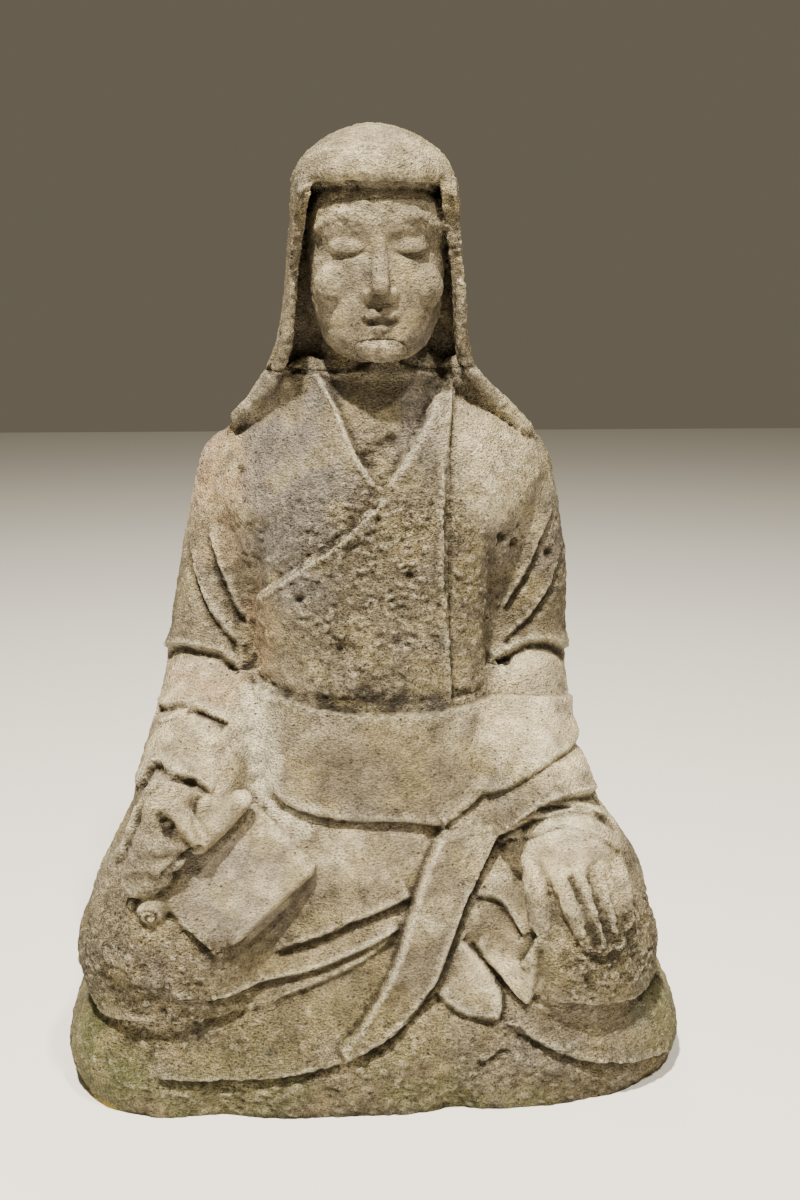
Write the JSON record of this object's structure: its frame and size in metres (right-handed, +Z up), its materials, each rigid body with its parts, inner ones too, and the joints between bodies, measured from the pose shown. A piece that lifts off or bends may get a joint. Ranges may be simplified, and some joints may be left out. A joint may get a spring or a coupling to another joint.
{
  "type": "seated stone arhat statue",
  "caption": "Carved stone seated monk in a hood, with a flat book held at the knee; the head is broken off at the neck and set back.",
  "frame": {"origin": "middle of the statue's footprint, on its flat underside", "axes": "+Z up, the figure faces -Y, +X towards the figure's left hand"},
  "size_m": [0.395, 0.2436, 0.5802],
  "materials": {
    "sandstone": "weathered, matt",
    "filler": "rough, matt"
  },
  "bodies": {
    "root": {"seated_body": "sandstone", "hooded_head": "sandstone", "chin_repair": "filler"}
  },
  "joints": []
}
